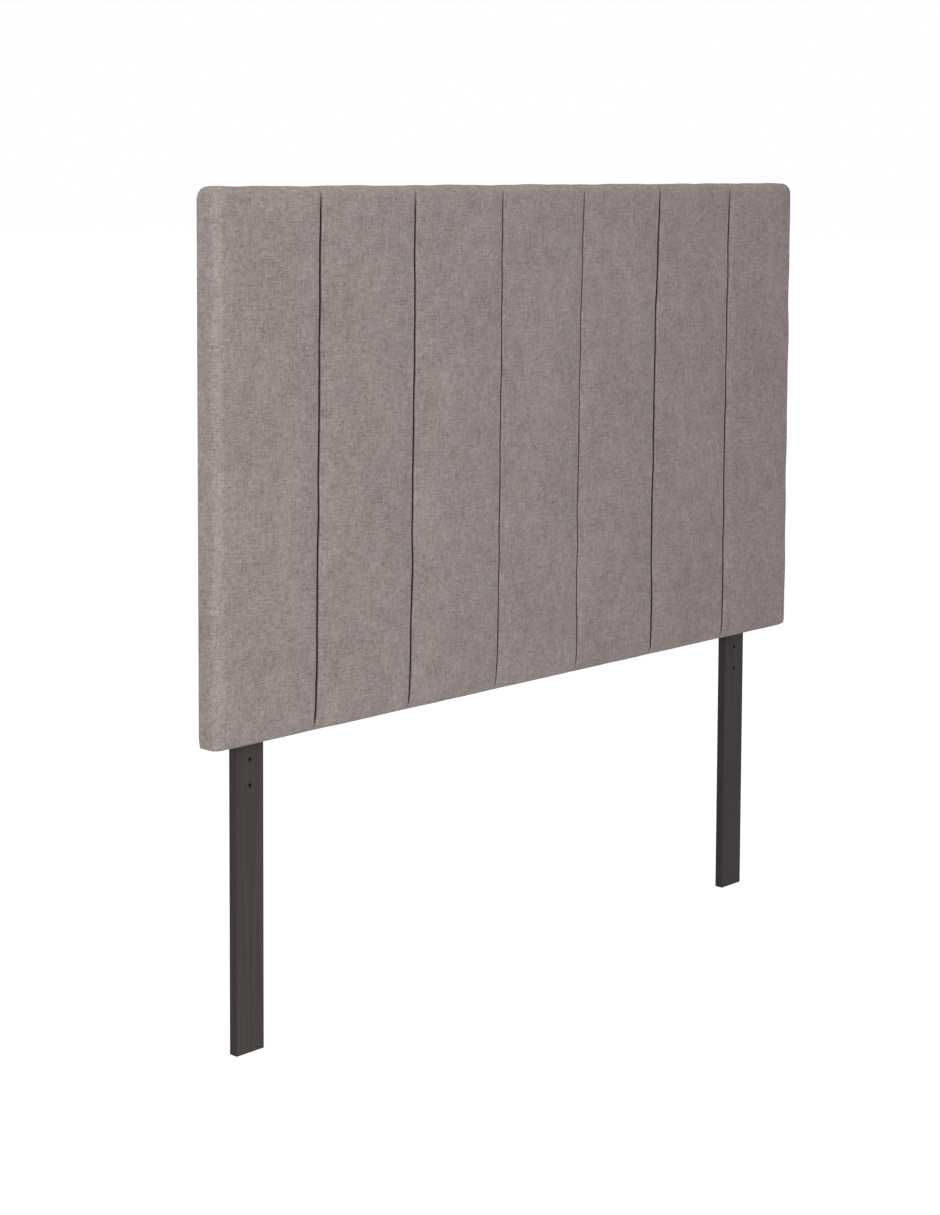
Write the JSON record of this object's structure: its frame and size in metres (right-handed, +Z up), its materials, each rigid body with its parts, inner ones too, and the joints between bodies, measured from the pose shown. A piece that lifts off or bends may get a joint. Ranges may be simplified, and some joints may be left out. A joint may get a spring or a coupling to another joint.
{
  "type": "headboard",
  "caption": "Upholstered headboard: cloth channels over foam and a wooden frame, bolted to flat wooden legs with spare holes that set its height.",
  "frame": {"origin": "on the floor, at the middle of the width and of the whole depth", "axes": "+X to the viewer's right along the panel, +Y from the cloth front to the legs behind it, +Z up"},
  "size_m": [1.575, 0.0728, 1.45],
  "materials": {
    "cover_cloth": "taupe-grey chenille with a short, soft pile",
    "foam": "open-cell polyurethane foam",
    "wadding": "white polyester wadding",
    "face_board": "hardboard, smooth",
    "frame_wood": "planed pine, bare",
    "dowel_wood": "beech dowel, bare",
    "leg_wood": "dark espresso stain, satin lacquer",
    "dust_cloth": "black non-woven cloth",
    "staple_wire": "galvanised wire",
    "zinc_steel": "bright zinc plate"
  },
  "bodies": {
    "root": {"cover_panel_1": "cover_cloth", "cover_panel_2": "cover_cloth", "cover_panel_3": "cover_cloth", "cover_panel_4": "cover_cloth", "cover_panel_5": "cover_cloth", "cover_panel_6": "cover_cloth", "cover_panel_7": "cover_cloth", "foam_pad_1": "foam", "foam_pad_2": "foam", "foam_pad_3": "foam", "foam_pad_4": "foam", "foam_pad_5": "foam", "foam_pad_6": "foam", "foam_pad_7": "foam", "edge_wadding": "wadding", "face_board": "face_board", "top_rail": "frame_wood", "bottom_rail": "frame_wood", "side_stile_left": "frame_wood", "side_stile_right": "frame_wood", "centre_stile": "frame_wood", "leg_batten_left": "frame_wood", "leg_batten_right": "frame_wood", "frame_dowels": "dowel_wood", "board_staples": "staple_wire", "back_staples": "staple_wire", "dust_cover": "dust_cloth", "t_nuts": "zinc_steel", "leg_bolts": "zinc_steel", "leg_washers": "zinc_steel", "leg_left": "leg_wood", "leg_right": "leg_wood"}
  },
  "joints": []
}
